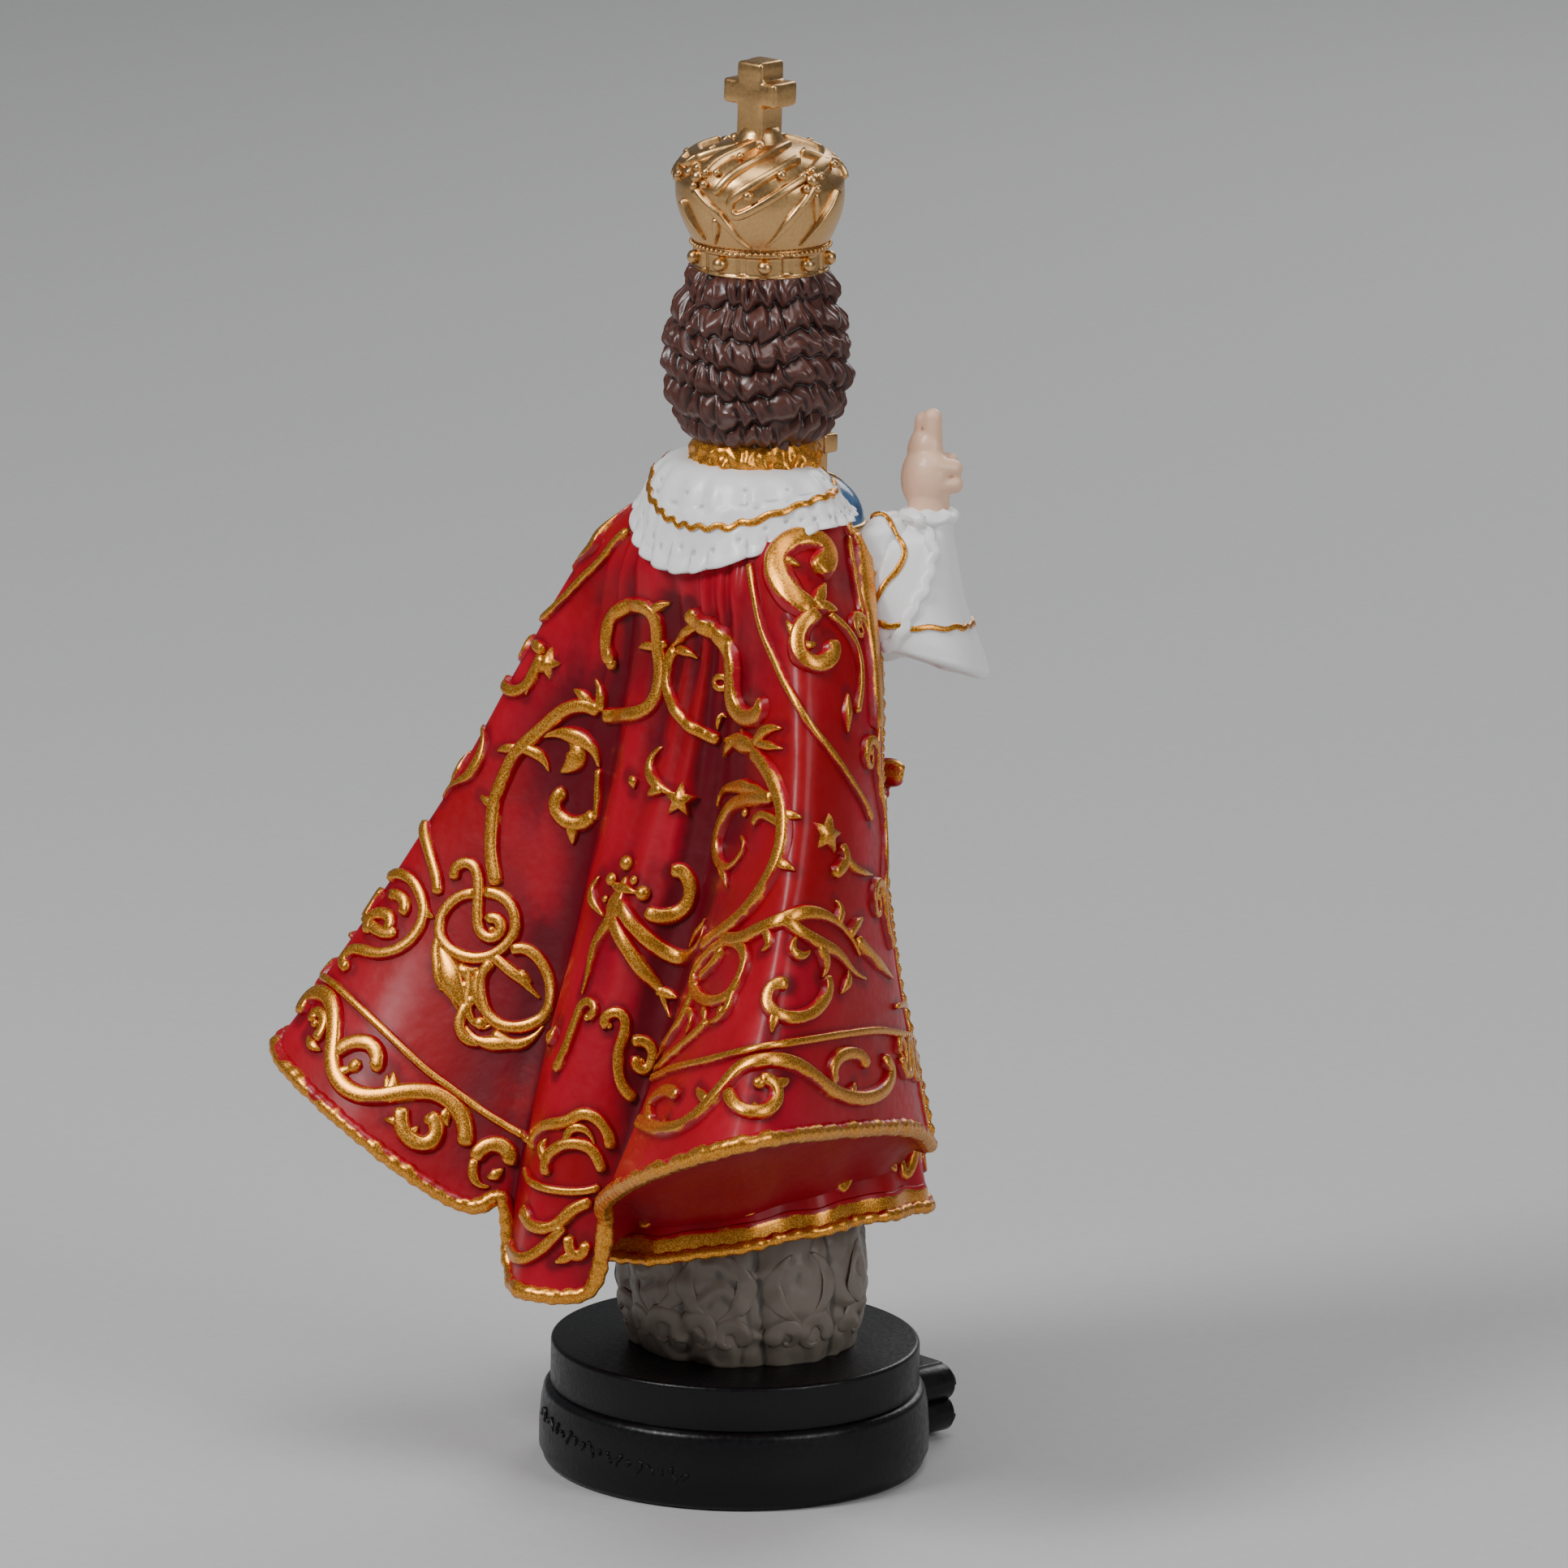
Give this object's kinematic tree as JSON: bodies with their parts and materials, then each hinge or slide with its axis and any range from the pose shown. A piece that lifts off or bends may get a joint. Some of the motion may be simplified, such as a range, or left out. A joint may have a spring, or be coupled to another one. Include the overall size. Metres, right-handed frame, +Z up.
{
  "type": "infant of prague statuette",
  "caption": "Painted cast-resin devotional statuette of a crowned child in a spread mantle, blessing and holding an orb, glued on a round stepped plinth.",
  "frame": {"origin": "middle of the plinth's underside, the face that it stands on", "axes": "+Z up along the plinth's axis; the figure faces -Y and its right hand is on the -X side"},
  "size_m": [0.1008, 0.078, 0.2],
  "materials": {
    "red_lacquer": "deep red lacquer over cast resin, wine-dark wash in the recesses, glossy",
    "gold_paint": "brushed-on metallic gold paint, red showing at its edges, semi-gloss",
    "white_paint": "white paint, satin, a little grey in the recesses",
    "skin_paint": "pale peach paint, satin",
    "hair_paint": "dark brown paint, semi-gloss, worn lighter on the locks",
    "orb_paint": "slate-blue paint, glossy",
    "stone_grey_paint": "grey-taupe paint with darker wash in the carving, satin",
    "black_plinth": "near-black paint, satin"
  },
  "bodies": {
    "root": {"figure": "red_lacquer", "plinth": "black_plinth"}
  },
  "joints": []
}
